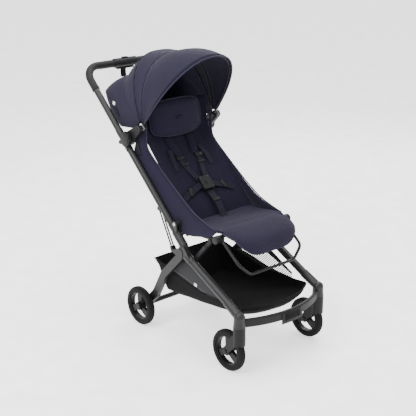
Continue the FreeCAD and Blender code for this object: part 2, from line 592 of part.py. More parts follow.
back_top = back_point(BACK_LENGTH, 0)
crest = (back_top[0] + 30.0, back_top[1] + 118.0)
back_points = [back_point(22, 0), back_top, crest, (crest[0] + BACK_T - 4, crest[1] - 4)]
back_points += [back_point(BACK_LENGTH, -BACK_T), back_point(24, -BACK_T + 8), back_point(16, -8)]
back = slab(back_points, -SEAT_HALF, SEAT_HALF)
save("back_shell", back.makeFillet(3.0, back.Edges))
head_low = (back_top[0] - 4.0, back_top[1] + 6.0)
head_lean = math.degrees(math.atan2(crest[1] - back_top[1], crest[0] - back_top[0]))
head = Part.makeBox(HEAD_W, HEAD_H, HEAD_T, vec(-HEAD_W / 2, 0, 0))
head = head.makeFillet(9.0, head.Edges)
head = turned(head, (0, 0), head_lean)
head.translate(vec(0, head_low[0] - SOFT_GAP, head_low[1]))
head = head.cut(back)
save("headrest", max(head.Solids, key=lambda s: s.Volume))
panel_t = 10.0
panel_in = SEAT_HALF + SOFT_GAP
panel_top = [side(470, 50), side(330, 74), side(215, 74), side(140, 80), (-40.0, 524.0), (-132.0, 508.0)]
panel_low = [(-132.0, 492.0), (-30.0, 472.0), side(75, 46), side(120, 24), side(300, 20), side(440, 20)]
panel = slab(panel_top + panel_low, panel_in, panel_in + panel_t)
save("seat_sides", pair(panel.makeFillet(3.0, panel.Edges)))

# Harness
pad = Part.makeBox(34, 118, 8, vec(26, 0, 0))
pad = turned(pad.makeFillet(2.0, pad.Edges), (0, 0), BACK_ANGLE)
pad_at = back_point(232, SOFT_GAP)
pad.translate(vec(0, pad_at[0], pad_at[1]))
save("shoulder_pads", pair(pad))
buckle_at = (105.0, 585.0)
strap_t = 3.0
belt_points = [back_point(228, 2), back_point(228, 2 + strap_t)]
belt_points += [onward(buckle_at, BACK_ANGLE, 22, 3 + strap_t), onward(buckle_at, BACK_ANGLE, 22, 3)]
belt = slab(belt_points, 30, 54)
waist_foot = slab([back_point(92, SOFT_GAP), back_point(118, SOFT_GAP), back_point(118, 3.6),
                   back_point(92, 3.6)], 24, SEAT_HALF - 24)
save("harness_straps", Part.makeCompound([belt, mirror(belt), waist_foot, mirror(waist_foot)]))
buckle = Part.makeBox(52, 58, 18, vec(-26, -32, -9))
buckle = buckle.makeFillet(5.0, buckle.Edges)
button_pocket = Part.makeCylinder(9.25, 8, vec(0, 0, 4))
buckle_button = Part.makeCylinder(9.0, 5.0, vec(0, 0, 5.6))
buckle_button = buckle_button.makeFillet(1.2, [buckle_button.Edges[0], buckle_button.Edges[2]])
buckle = turned(buckle.cut(button_pocket), (0, 0), BACK_ANGLE)
buckle_button = turned(buckle_button, (0, 0), BACK_ANGLE)
buckle.translate(vec(0, buckle_at[0], buckle_at[1]))
buckle_button.translate(vec(0, buckle_at[0], buckle_at[1]))
save("buckle", buckle)
save("buckle_button", buckle_button)
crotch_foot = (-44.0, 467.0)
crotch_top = onward(buckle_at, BACK_ANGLE, -30, -1)
crotch = slab([crotch_foot, (crotch_foot[0] + 4, crotch_foot[1]), (crotch_top[0] + 3, crotch_top[1] - 2),
               (crotch_top[0], crotch_top[1] + 2)], -13, 13).cut(buckle).cut(pan)
save("crotch_strap", max(crotch.Solids, key=lambda s: s.Volume))

# Leg rest: hanging tube loop and its pad, turning on the seat hubs
loop_side = [at(loop_half, loop_pivot), at(loop_half, LOOP_KNEE), at(loop_half - 46, LOOP_LOW)]
loop_points = loop_side + [vec(-p.x, p.y, p.z) for p in reversed(loop_side)]
leg_loop = sweep(bent_wire(loop_points, [30, 40, 40, 30]), loop_d)
boss = disc(loop_pivot, 11.0, loop_half - loop_d / 2 - 1.0, rail_in - GAP)
leg_loop = leg_loop.fuse([boss, mirror(boss)])
leg_loop = leg_loop.cut(disc(loop_pivot, 4.0 + RUN_FIT, lane_low - 10, FRAME_HALF))
leg_loop = leg_loop.cut(disc(loop_pivot, 4.0 + RUN_FIT, -FRAME_HALF, 10 - lane_low))
save("leg_rest_loop", leg_loop)
pad_half = loop_half - loop_d / 2 - 2
flap_points = [(-150.0, 485.0), (-200.0, 480.0), (-240.0, 466.0), (-259.0, 444.0), (-262.0, 412.0)]
flap_points += [(-251.0, 412.0), (-249.0, 438.0), (-234.0, 454.0), (-198.0, 468.0), (-152.0, 473.0)]
flap = slab(flap_points, -pad_half, pad_half)
save("leg_rest_pad", flap.makeFillet(2.5, flap.Edges))

# Basket: open tub and two mesh panels above its side walls
tub_outer = [(222.0, 282.0), (146.0, 158.0), (-60.0, 176.0), (-284.0, 200.0), (BASKET_FRONT, 238.0)]
tub_rim = [(-215.0, 232.0), (-60.0, 226.0), (110.0, 262.0)]


def inner_line(points, d):
    return [(y - d if y > 0 else y + d, z + d) for y, z in points]


tub = slab(tub_outer + tub_rim, -BASKET_HALF, BASKET_HALF)
hollow_points = [(222.0 - BASKET_WALL * 1.3, 300.0), (222.0 - BASKET_WALL * 1.3, 282.0)]
hollow_points += inner_line(tub_outer[1:4], BASKET_WALL)
hollow_points += [(BASKET_FRONT + BASKET_WALL * 1.3, 238.0), (BASKET_FRONT + BASKET_WALL * 1.3, 300.0)]
hollow = slab(hollow_points, -BASKET_HALF + BASKET_WALL, BASKET_HALF - BASKET_WALL)
bow_r = (BASKET_HALF ** 2 + BASKET_BOW ** 2) / (2 * BASKET_BOW)
behind = Part.makeBox(500, 600, 300, vec(-250, BASKET_FRONT + BASKET_BOW + 40, 100))


def rounded_front(shape, inset):
    """The part of a shape behind the bowed front wall line."""
    middle = vec(0, BASKET_FRONT + bow_r, 100)
    bowed = Part.makeCylinder(bow_r - inset, 300, middle)
    return shape.common(bowed.fuse(behind))


tub = rounded_front(tub, 0.0).cut(rounded_front(hollow, BASKET_WALL)).removeSplitter()
save("basket_tub", tub)
mesh_low = [(108.0, 262.2), (-60.0, 226.6), (-213.0, 232.6)]
mesh_high = [(-205.0, 256.0), (-60.0, 330.0), (0.0, 338.0), (60.0, 312.0)]
mesh = slab(mesh_low + mesh_high, BASKET_HALF - 2.5, BASKET_HALF - 0.5)
save("basket_mesh", pair(mesh))


# Canopy: bows are half ovals in planes through the canopy axis
def bow_point(angle, a, half, radius, power):
    """Point on a bow; a runs 0..180 from the right hub over the top to the left."""
    c = math.cos(math.radians(a))
    s = math.sin(math.radians(a))
    size = (abs(c) ** power + s ** power) ** (1 / power)
    y, z = onward(CANOPY_AXIS, angle, radius * s / size)
    return vec(-half * c / size, y, z)


def hood_shape(angle):
    """Oval radius and squareness of the hood cloth at a given angle."""
    stations = [HOOD_HEM, HOOD_CORNER, HOOD_WAIST, (REAR_BOW_ANGLE, REAR_BOW_R, 2.6)]
    stations += [(DIP_ANGLE, DIP_R, 2.5), (VISOR_ANGLE, VISOR_R, 2.25)]
    upper = next(i for i in range(1, 6) if angle <= stations[i][0] or i == 5)
    low, high = stations[upper - 1], stations[upper]
    k = (angle - low[0]) / (high[0] - low[0])
    return low[1] + (high[1] - low[1]) * k, low[2] + (high[2] - low[2]) * k


def hood_panel(angle_0, angle_1, steps):
    """Closed cloth panel between two angles, with rounded ends above the hubs."""
    faces = []
    sheets = []
    for inset in (0.0, CLOTH_T):
        grid = []
        for i in range(steps + 1):
            angle = angle_0 + (angle_1 - angle_0) * i / steps
            radius, power = hood_shape(angle)
            row = []
            for j in range(25):
                a = HOOD_LOW + (180 - 2 * HOOD_LOW) * j / 24
                row.append(bow_point(angle, a, CANOPY_HALF - inset, radius - inset, power))
            grid.append(row)
        surface = Part.BSplineSurface()
        surface.interpolate(grid)
        sheets.append(surface)
        faces.append(surface.toShape())
    u0, u1, v0, v1 = sheets[0].bounds()
    for k in ("u", "v"):
        for end in ((u0, u1) if k == "u" else (v0, v1)):
            lines = []
            for surface in sheets:
                curve = surface.uIso(end) if k == "u" else surface.vIso(end)
                lines.append(curve.toShape())
            faces.append(Part.makeRuledSurface(lines[0], lines[1]))
    shell = Part.Shell(faces)
    shell.sewShape()
    solid = Part.Solid(Part.Shell(shell.Faces))
    if solid.Volume < 0:
        solid.reverse()
    return solid


def bow(angle, half, radius, power, d):
    points = [bow_point(angle, a, half, radius, power) for a in range(4, 177, 4)]
    curve = Part.BSplineCurve()
    curve.interpolate(points)
    arc = sweep(Part.Wire([curve.toShape()]), d)
    ring = disc(CANOPY_AXIS, 9.0, half - 2.6, half + 2.6)
    foot = bow_point(angle, 176, half, radius, power)
    bar_shape = rod(vec(half - 0.2, CANOPY_AXIS[0], CANOPY_AXIS[1]), foot, d - 1.8)
    leg = ring.fuse([bar_shape, Part.makeSphere(d / 2, foot)])
    out = arc.fuse([leg, mirror(leg)])
    hole = disc(CANOPY_AXIS, 5.0 + RUN_FIT, lane_low - 10, lane_high)
    return out.cut(hole).cut(mirror(hole)).removeSplitter()


VISOR_HALF = CANOPY_HALF - 5.0
REAR_HALF = VISOR_HALF - 8.0
MID_HALF = REAR_HALF - 7.4
visor_r, visor_power = hood_shape(VISOR_ANGLE - 2)
bow_inset = CLOTH_T + BOW_D / 2 + 0.8
save("visor_bow", bow(VISOR_ANGLE - 2, VISOR_HALF - 2, visor_r - bow_inset, visor_power, BOW_D - 2))
save("rear_bow", bow(REAR_BOW_ANGLE, REAR_HALF, REAR_BOW_R - 13, 2.5, BOW_D - 2))
save("mid_bow", bow(DIP_ANGLE, MID_HALF, DIP_R - 13, 2.5, BOW_D - 2))
cloth_gap = 0.35
save("visor_panel", hood_panel(DIP_ANGLE + cloth_gap, VISOR_ANGLE, 4))
save("mid_panel", hood_panel(REAR_BOW_ANGLE + cloth_gap, DIP_ANGLE - cloth_gap, 3))
save("rear_panel", hood_panel(HOOD_HEM[0], REAR_BOW_ANGLE - cloth_gap, 10))
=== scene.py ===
import bpy, bmesh, json, math
from mathutils import Vector, Matrix, noise


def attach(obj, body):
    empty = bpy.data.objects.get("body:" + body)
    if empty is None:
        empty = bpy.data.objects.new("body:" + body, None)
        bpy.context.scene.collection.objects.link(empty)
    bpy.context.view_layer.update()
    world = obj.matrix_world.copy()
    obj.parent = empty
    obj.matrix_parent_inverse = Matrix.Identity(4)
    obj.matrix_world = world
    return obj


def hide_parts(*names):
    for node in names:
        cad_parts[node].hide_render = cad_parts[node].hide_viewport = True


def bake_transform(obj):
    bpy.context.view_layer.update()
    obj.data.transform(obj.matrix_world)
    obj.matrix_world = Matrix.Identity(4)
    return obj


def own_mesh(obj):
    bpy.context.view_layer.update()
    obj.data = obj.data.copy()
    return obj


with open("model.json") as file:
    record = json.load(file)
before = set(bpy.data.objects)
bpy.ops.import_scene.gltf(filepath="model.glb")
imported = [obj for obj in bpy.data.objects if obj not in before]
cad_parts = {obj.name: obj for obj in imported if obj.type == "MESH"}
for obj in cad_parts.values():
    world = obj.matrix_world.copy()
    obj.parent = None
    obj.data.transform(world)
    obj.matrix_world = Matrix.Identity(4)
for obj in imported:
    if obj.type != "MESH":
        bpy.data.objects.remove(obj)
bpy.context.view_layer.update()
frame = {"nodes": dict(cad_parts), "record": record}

joints = {j["name"]: j for j in frame["record"]["behaviour"]["joints"]}


def jointPoint(name):
    return Vector(joints[name]["pos_m"])


# Lines of the frame seen from the side, read from the CAD pieces
hoodPivot = jointPoint("visor_pull")
sideFoot = jointPoint("rear_leg_fold") + Vector((0, -0.012, 0.0305))
sideAngle = math.radians(43.66)


def sidePoint(along, off=0.0):
    # a point of the side tube line, with an offset towards the seat
    c, s = math.cos(sideAngle), math.sin(sideAngle)
    return Vector((0, sideFoot.y + along * c - off * s, sideFoot.z + along * s + off * c))


# materials
finish = {
    "frameMetal": dict(base=(0.0095, 0.0095, 0.0105), rough=0.42, metal=0.10, shine=0.30, grain=900,
                       bump=0.02),
    "darkMetal": dict(base=(0.005, 0.005, 0.006), rough=0.44, metal=0.05, shine=0.22, grain=900, bump=0.02),
    "pinSteel": dict(base=(0.42, 0.42, 0.44), rough=0.30, metal=1.0, grain=300, bump=0.01),
    "blackPlastic": dict(base=(0.005, 0.005, 0.006), shine=0.18, rough=0.50, grain=2200, bump=0.08),
    "rimPlastic": dict(base=(0.004, 0.004, 0.005), shine=0.18, rough=0.46, grain=1800, bump=0.05),
    "gripCover": dict(base=(0.007, 0.007, 0.008), shine=0.22, rough=0.62, grain=1400, bump=0.18),
    "tyreFoam": dict(base=(0.003, 0.003, 0.0035), shine=0.15, rough=0.74, grain=1500, bump=0.12),
    "greyPlastic": dict(base=(0.055, 0.055, 0.060), rough=0.42, grain=1800, bump=0.05),
    "labelWhite": dict(base=(0.62, 0.62, 0.64), rough=0.6, grain=1500, bump=0.02),
    "navyFabric": dict(kind="cloth", base=(0.0110, 0.0092, 0.0215),
                       rough=0.90, weave=620, bump=0.35, sheen=0.035),
    # hood cloth: the navy fabric painted lighter, as painted light for the lamp-lit hood
    "hoodFabricPaintedLit": dict(kind="cloth", base=(0.0125, 0.0108, 0.0230),
                       rough=0.90, weave=620, bump=0.30, sheen=0.04),
    "darkFabric": dict(kind="cloth", base=(0.0070, 0.0058, 0.0150),
                       rough=0.92, weave=700, bump=0.30, sheen=0.02),
    "basketFabric": dict(kind="cloth", base=(0.0035, 0.0035, 0.0040),
                         rough=0.85, weave=500, bump=0.30, sheen=0.01),
    "webbing": dict(kind="cloth", base=(0.0080, 0.0070, 0.0140),
                    rough=0.85, weave=1100, bump=0.50, sheen=0.02),
    # piping: the navy fabric painted lighter, a painted highlight along the rounded cord
    "piping": dict(kind="cloth", base=(0.0190, 0.0170, 0.0340),
                   rough=0.80, weave=1400, bump=0.30, sheen=0.05),
    "meshFabric": dict(kind="net", base=(0.018, 0.018, 0.020),
                       rough=0.85, weave=330, open=0.05),
    "floorPaper": dict(base=(0.80, 0.80, 0.80), rough=0.9, grain=60, bump=0.0, glow=1.1),
}


def shadeGroup():
    # slow mottling and fine grain, one value each
    g = bpy.data.node_groups.new("toneAndGrain", "ShaderNodeTree")
    g.interface.new_socket("Grain Scale", in_out="INPUT", socket_type="NodeSocketFloat")
    g.interface.new_socket("Tone", in_out="OUTPUT", socket_type="NodeSocketFloat")
    g.interface.new_socket("Grain", in_out="OUTPUT", socket_type="NodeSocketFloat")
    gin, gout = g.nodes.new("NodeGroupInput"), g.nodes.new("NodeGroupOutput")
    coord = g.nodes.new("ShaderNodeTexCoord")
    slow, fine = g.nodes.new("ShaderNodeTexNoise"), g.nodes.new("ShaderNodeTexNoise")
    slow.inputs["Scale"].default_value = 9.0
    slow.inputs["Detail"].default_value = 3.0
    fine.inputs["Detail"].default_value = 2.0
    g.links.new(coord.outputs["Object"], slow.inputs["Vector"])
    g.links.new(coord.outputs["Object"], fine.inputs["Vector"])
    g.links.new(gin.outputs["Grain Scale"], fine.inputs["Scale"])
    g.links.new(slow.outputs["Fac"], gout.inputs["Tone"])
    g.links.new(fine.outputs["Fac"], gout.inputs["Grain"])
    return g


def weaveGroup():
    # warp and weft threads as two crossed waves, giving a height and an open mask
    g = bpy.data.node_groups.new("weaveThreads", "ShaderNodeTree")
    g.interface.new_socket("Weave", in_out="INPUT", socket_type="NodeSocketFloat")
    g.interface.new_socket("Height", in_out="OUTPUT", socket_type="NodeSocketFloat")
    g.interface.new_socket("Solid", in_out="OUTPUT", socket_type="NodeSocketFloat")
    gin, gout = g.nodes.new("NodeGroupInput"), g.nodes.new("NodeGroupOutput")
    coord = g.nodes.new("ShaderNodeTexCoord")
    split = g.nodes.new("ShaderNodeSeparateXYZ")
    g.links.new(coord.outputs["Object"], split.inputs[0])
    slope = g.nodes.new("ShaderNodeMath")
    slope.operation = "ADD"
    g.links.new(split.outputs["Y"], slope.inputs[0])
    g.links.new(split.outputs["Z"], slope.inputs[1])
    waves = []
    for source in (split.outputs["X"], slope.outputs[0]):
        scaled, wave = g.nodes.new("ShaderNodeMath"), g.nodes.new("ShaderNodeMath")
        scaled.operation, wave.operation = "MULTIPLY", "SINE"
        g.links.new(source, scaled.inputs[0])
        g.links.new(gin.outputs["Weave"], scaled.inputs[1])
        g.links.new(scaled.outputs[0], wave.inputs[0])
        waves.append(wave)
    both, top = g.nodes.new("ShaderNodeMath"), g.nodes.new("ShaderNodeMath")
    both.operation, top.operation = "MULTIPLY", "MAXIMUM"
    for k in (0, 1):
        g.links.new(waves[k].outputs[0], both.inputs[k])
        g.links.new(waves[k].outputs[0], top.inputs[k])
    g.links.new(both.outputs[0], gout.inputs["Height"])
    g.links.new(top.outputs[0], gout.inputs["Solid"])
    return g


toneNodes, weaveNodes = shadeGroup(), weaveGroup()


def makeMaterial(name, f):
    # hard finishes have grain only; kind "cloth" adds threads and kind "net" opens the gaps between them
    m = bpy.data.materials.new(name)
    m.use_nodes = True
    t = m.node_tree
    bsdf = next(n for n in t.nodes if n.type == "BSDF_PRINCIPLED")
    tone = t.nodes.new("ShaderNodeGroup")
    tone.node_tree = toneNodes
    tone.inputs["Grain Scale"].default_value = f.get("grain", 1200)
    ramp = t.nodes.new("ShaderNodeMix")
    ramp.data_type = "RGBA"
    dark = [c * 0.82 for c in f["base"]]
    lightTone = [c * 1.20 for c in f["base"]]
    ramp.inputs["A"].default_value = (*dark, 1)
    ramp.inputs["B"].default_value = (*lightTone, 1)
    t.links.new(tone.outputs["Tone"], ramp.inputs["Factor"])
    t.links.new(ramp.outputs["Result"], bsdf.inputs["Base Color"])
    spread = t.nodes.new("ShaderNodeMapRange")
    spread.inputs["To Min"].default_value = max(0.05, f["rough"] - 0.07)
    spread.inputs["To Max"].default_value = min(1.0, f["rough"] + 0.07)
    t.links.new(tone.outputs["Grain"], spread.inputs["Value"])
    t.links.new(spread.outputs["Result"], bsdf.inputs["Roughness"])
    bsdf.inputs["Metallic"].default_value = f.get("metal", 0.0)
    bsdf.inputs["Specular IOR Level"].default_value = f.get("shine", 0.5)
    if f.get("glow"):
        bsdf.inputs["Emission Color"].default_value = (1, 1, 1, 1)
        bsdf.inputs["Emission Strength"].default_value = f["glow"]
    bump = t.nodes.new("ShaderNodeBump")
    bump.inputs["Strength"].default_value = f.get("bump", 0.1)
    if "kind" not in f:
        bump.inputs["Distance"].default_value = 0.0002
        t.links.new(tone.outputs["Grain"], bump.inputs["Height"])
    else:
        weave = t.nodes.new("ShaderNodeGroup")
        weave.node_tree = weaveNodes
        weave.inputs["Weave"].default_value = f["weave"] * 2 * math.pi
        bump.inputs["Distance"].default_value = 0.0003
        t.links.new(weave.outputs["Height"], bump.inputs["Height"])
        bsdf.inputs["Sheen Weight"].default_value = f.get("sheen", 0.1)
        bsdf.inputs["Sheen Roughness"].default_value = 0.5
        bsdf.inputs["Specular IOR Level"].default_value = 0.12
        if f["kind"] == "net":
            weave.inputs["Weave"].default_value = f["weave"] * 2
            hole = t.nodes.new("ShaderNodeMath")
            hole.operation = "GREATER_THAN"
            hole.inputs[1].default_value = f["open"]
            t.links.new(weave.outputs["Solid"], hole.inputs[0])
            t.links.new(hole.outputs[0], bsdf.inputs["Alpha"])
    t.links.new(bump.outputs["Normal"], bsdf.inputs["Normal"])
    return m


materials = {n: makeMaterial(n, f) for n, f in finish.items()}
slotOf = {
    "frameMetal": "frame_metal", "darkMetal": "dark_metal", "pinSteel": "pin_steel",
    "blackPlastic": "black_plastic", "rimPlastic": "rim_plastic", "gripCover": "grip_cover",
    "tyreFoam": "tyre_foam", "greyPlastic": "black_plastic", "labelWhite": "webbing",
    "navyFabric": "navy_fabric", "hoodFabricPaintedLit": "navy_fabric", "darkFabric": "dark_fabric",
    "basketFabric": "basket_fabric", "webbing": "webbing", "piping": "navy_fabric",
    "meshFabric": "mesh_fabric",
}
finishOfSlot = {s: n for n, s in reversed(list(slotOf.items()))}
nodeSlots = {p["node"]: p["material_slot"] for p in frame["record"]["subparts"]}
for nodeName, nodeObj in frame["nodes"].items():
    nodeObj.data.materials.clear()
    nodeObj.data.materials.append(materials[finishOfSlot[nodeSlots[nodeName]]])
print("materials made:", len(materials))


# mesh helpers
def addPiece(name, verts, faces, material, body, smooth=True):
    mesh = bpy.data.meshes.new(name)
    mesh.from_pydata([tuple(v) for v in verts], [], faces)
    mesh.validate()
    bm = bmesh.new()
    bm.from_mesh(mesh)
    bmesh.ops.recalc_face_normals(bm, faces=bm.faces)
    bm.to_mesh(mesh)
    bm.free()
    for p in mesh.polygons:
        p.use_smooth = smooth
    obj = bpy.data.objects.new(name, mesh)
    bpy.context.scene.collection.objects.link(obj)
    obj.data.materials.append(materials[material])
    if body:
        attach(obj, body)
    return obj


def addModifier(obj, kind, **settings):
    mod = obj.modifiers.new(kind.lower(), kind)
    for key, value in settings.items():
        setattr(mod, key, value)
    return mod


def gridFaces(rows, cols, wrap=False):
    faces = []
    for i in range(rows - 1):
        for j in range(cols - (0 if wrap else 1)):
            k = (j + 1) % cols
            faces.append((i * cols + j, i * cols + k, (i + 1) * cols + k, (i + 1) * cols + j))
    return faces


def clothSheet(name, grid, thickness, material, body):
    # an open grid of points given a real thickness
    verts = [p for row in grid for p in row]
    obj = addPiece(name, verts, gridFaces(len(grid), len(grid[0])), material, body)
    addModifier(obj, "SOLIDIFY", thickness=thickness, offset=0.0, use_even_offset=False)
    return obj


def padShape(name, front, thickness, material, body, puff=0.35, seams=(), level=1):
    # closed pad: a front grid, a back grid behind it and a rounded rim between them
    rows, cols = len(front), len(front[0])
    normals = []
    for i in range(rows):
        line = []
        for j in range(cols):
            du = front[i][min(j + 1, cols - 1)] - front[i][max(j - 1, 0)]
            dv = front[min(i + 1, rows - 1)][j] - front[max(i - 1, 0)][j]
            line.append(du.cross(dv).normalized())
        normals.append(line)
    verts, back = [], []
    for i in range(rows):
        for j in range(cols):
            u, v = 2 * j / (cols - 1) - 1, 2 * i / (rows - 1) - 1
            round4 = max(0.0, (1 - u ** 6) * (1 - v ** 6))
            lift = thickness * (0.5 + puff * round4) - 0.42 * thickness * (1 - round4)
            for axis, at, depth, wide in seams:
                gap = abs((u if axis == "u" else v) - at)
                lift -= depth * math.exp(-(gap / wide) ** 2)
            verts.append(front[i][j] + normals[i][j] * lift)
            back.append(front[i][j] - normals[i][j] * thickness * (0.1 + 0.4 * round4))
    n = len(verts)
    faces = gridFaces(rows, cols)
    faces += [tuple(n + k for k in reversed(f)) for f in gridFaces(rows, cols)]
    ring = [j for j in range(cols)]
    ring += [i * cols + cols - 1 for i in range(1, rows)]
    ring += [(rows - 1) * cols + j for j in range(cols - 2, -1, -1)]
    ring += [i * cols for i in range(rows - 2, 0, -1)]
    for k in range(len(ring)):
        a, b = ring[k], ring[(k + 1) % len(ring)]
        faces.append((a, b, n + b, n + a))
    obj = addPiece(name, verts + back, faces, material, body)
    if level:
        addModifier(obj, "SUBSURF", levels=level, render_levels=level)
    return obj


def tubeAlong(name, points, radius, material, body, sides=8, closed=False, flat=1.0):
    # a round or flattened rope of rings along points, turning as little as it can
    pts = [Vector(p) for p in points]
    count = len(pts)
    normal = None
    verts = []
    for i, p in enumerate(pts):
        a = pts[(i - 1) % count] if closed or i > 0 else p
        b = pts[(i + 1) % count] if closed or i < count - 1 else p
        tangent = (b - a).normalized()
        if normal is None:
            seed = Vector((0, 0, 1)) if abs(tangent.z) < 0.9 else Vector((1, 0, 0))
            normal = tangent.cross(seed).normalized()
        normal = (normal - tangent * normal.dot(tangent)).normalized()
        side = tangent.cross(normal)
        for k in range(sides):
            turn = 2 * math.pi * k / sides
            verts.append(p + normal * radius * math.cos(turn) + side * radius * flat * math.sin(turn))
    faces = []
    for i in range(count if closed else count - 1):
        nxt = (i + 1) % count
        for k in range(sides):
            m = (k + 1) % sides
            faces.append((i * sides + k, i * sides + m, nxt * sides + m, nxt * sides + k))
    if not closed:
        faces.append(tuple(reversed(range(sides))))
        faces.append(tuple((count - 1) * sides + k for k in range(sides)))
    return addPiece(name, verts, faces, material, body)


def solidPiece(name, bm, turn, centre, material, body):
    # a shape made round the origin, turned and moved to its place
    bm.verts.index_update()
    verts = [Vector(centre) + turn @ v.co for v in bm.verts]
    faces = [tuple(v.index for v in f.verts) for f in bm.faces]
    bm.free()
    return addPiece(name, verts, faces, material, body)


def bevelBox(size, bevel):
    bm = bmesh.new()
    bmesh.ops.create_cube(bm, size=1.0)
    bmesh.ops.scale(bm, vec=Vector(size), verts=bm.verts)
    bmesh.ops.bevel(bm, geom=bm.edges[:], offset=bevel, segments=3, profile=0.5, affect="EDGES", material=-1)
    return bm


def boxPiece(name, centre, size, material, body, bevel, angle):
    return solidPiece(name, bevelBox(size, bevel), Matrix.Rotation(angle, 3, "X"), centre, material, body)


def discPiece(name, centre, radius, width, material, body, segments, bevel):
    # a short cylinder lying across the stroller
    bm = bmesh.new()
    bmesh.ops.create_cone(bm, cap_ends=True, segments=segments, radius1=radius, radius2=radius, depth=width)
    rim = [e for e in bm.edges if abs(e.verts[0].co.z - e.verts[1].co.z) < 1e-6]
    bmesh.ops.bevel(bm, geom=rim, offset=bevel, segments=3, profile=0.5, affect="EDGES", material=-1)
    return solidPiece(name, bm, Matrix.Rotation(math.pi / 2, 3, "Y"), centre, material, body)


def flatTape(name, pts, width, thickness, material, body, wideAt):
    # a flat strip along points; wideAt turns its run into the direction of its width
    verts = []
    for i, p in enumerate(pts):
        tangent = (pts[min(i + 1, len(pts) - 1)] - pts[max(i - 1, 0)]).normalized()
        wide = wideAt(tangent)
        up = wide.cross(tangent)
        for a, b in ((-1, -1), (1, -1), (1, 1), (-1, 1)):
            verts.append(p + wide * (a * width / 2) + up * (b * thickness / 2))
    faces = []
    for i in range(len(pts) - 1):
        for k in range(4):
            m = (k + 1) % 4
            faces.append((i * 4 + k, i * 4 + m, (i + 1) * 4 + m, (i + 1) * 4 + k))
    last = (len(pts) - 1) * 4
    faces += [(3, 2, 1, 0), (last, last + 1, last + 2, last + 3)]
    return addPiece(name, verts, faces, material, body, smooth=False)


def ribbon(name, points, width, thickness, material, body, across=Vector((1, 0, 0))):
    # tape whose width lies along a fixed direction
    def wideAt(tangent):
        return (across - tangent * across.dot(tangent)).normalized()
    return flatTape(name, smoothLine(points, 6), width, thickness, material, body, wideAt)


def smoothLine(points, steps):
    # Catmull-Rom through the points
    pts = [Vector(p) for p in points]
    out = []
    for i in range(len(pts) - 1):
        p0, p1, p2, p3 = pts[max(i - 1, 0)], pts[i], pts[i + 1], pts[min(i + 2, len(pts) - 1)]
        for k in range(steps):
            t = k / steps
            out.append(0.5 * (2 * p1 + (p2 - p0) * t + (2 * p0 - 5 * p1 + 4 * p2 - p3) * t ** 2
                              + (3 * p1 - p0 - 3 * p2 + p3) * t ** 3))
    out.append(pts[-1])
    return out


def spreadLine(points, count):
    # the same line cut into equal steps
    pts = smoothLine(points, 12)
    reach = [0.0]
    for a, b in zip(pts, pts[1:]):
        reach.append(reach[-1] + (b - a).length)
    out, k = [], 0
    for i in range(count):
        want = reach[-1] * i / (count - 1)
        while k < len(reach) - 2 and reach[k + 1] < want:
            k += 1
        span = max(reach[k + 1] - reach[k], 1e-9)
        out.append(pts[k].lerp(pts[k + 1], (want - reach[k]) / span))
    return out


def sideRim(grid):
    # both sides and the far end of a grid as one open line
    return [r[0] for r in grid] + grid[-1][1:-1] + [r[-1] for r in reversed(grid)]


def fullRim(grid):
    return sideRim(grid) + list(reversed(grid[0][1:-1]))


def flatten(obj):
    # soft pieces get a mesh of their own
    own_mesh(obj)
    return obj


# hood
hood = dict(half=0.184, visorAngle=127.0, dipAngle=86.0, rearAngle=67.0, backAngle=-6.0, cloth=0.0016,
            columns=67, low=4.0, lining=0.0012, pucker=0.0008, hoop=0.0026)
hoodStations = [(-6.0, 0.178, 6.5), (22.0, 0.293, 8.0), (44.0, 0.256, 3.2),
                (67.0, 0.286, 2.6), (86.0, 0.268, 2.5), (127.0, 0.350, 2.25)]  # angle, reach, squareness


def hoodShape(angle):
    # reach and squareness of the hood at an angle
    for low, high in zip(hoodStations, hoodStations[1:]):
        if angle <= high[0]:
            break
    k = (angle - low[0]) / (high[0] - low[0])
    return low[1] + (high[1] - low[1]) * k, low[2] + (high[2] - low[2]) * k


def hoodPoint(angle, a, inset=0.0):
    radius, power = hoodShape(angle)
    c, s = math.cos(math.radians(a)), math.sin(math.radians(a))
    size = (abs(c) ** power + abs(s) ** power) ** (1 / power)
    x = -(hood["half"] - inset) * c / size
    r = (radius - inset) * s / size
    t = math.radians(angle)
    return Vector((x, hoodPivot.y + r * math.cos(t), hoodPivot.z + r * math.sin(t)))


def hoodPanel(name, angle0, angle1, steps, body, sag, nodes):
    grid = []
    for i in range(steps + 1):
        angle = angle0 + (angle1 - angle0) * i / steps
        row = []
        for j in range(hood["columns"]):
            a = hood["low"] + (180 - 2 * hood["low"]) * j / (hood["columns"] - 1)
            between = math.sin(math.pi * i / steps)
            pucker = hood["pucker"] * math.sin(a * 1.7 + i) * (1 - between)
            row.append(hoodPoint(angle, a, hood["lining"] + sag * between + pucker))
        grid.append(row)
    # the hood panels use the navy fabric painted lighter, as painted light
    panel = clothSheet(name, grid, hood["cloth"], "hoodFabricPaintedLit", body)
    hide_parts(*nodes)
    return flatten(panel)


def hoodLine(angle, inset, start=4, stop=176):
    return [hoodPoint(angle, a, inset) for a in range(start, stop + 1, 3)]


hoodPanel("visorPanel", hood["dipAngle"], hood["visorAngle"], 14, "visor", 0.004, ["visor_panel"])
hoodPanel("midPanel", hood["rearAngle"], hood["dipAngle"], 8, "mid_hood", 0.002, ["mid_panel"])
hoodPanel("rearPanel", hood["backAngle"], hood["rearAngle"], 26, "main_frame", 0.0, ["rear_panel"])
hoodSeams = [  # name, angle, inset, radius, finish, body, sides
    ("visorEdge", hood["visorAngle"], 0.001, 0.0024, "piping", "visor", 8),
    ("visorStitchA", hood["visorAngle"] - 1.6, -0.0002, 0.0006, "darkFabric", "visor", 5),
    ("visorStitchB", hood["visorAngle"] - 2.6, -0.0002, 0.0006, "darkFabric", "visor", 5),
    ("dipSeam", hood["dipAngle"], 0.0004, 0.0014, "darkFabric", "mid_hood", 6),
    ("rearSeam", hood["rearAngle"], 0.0002, 0.0018, "darkFabric", "main_frame", 6),
    ("rearHem", hood["backAngle"], 0.001, 0.0022, "piping", "main_frame", 8),
]
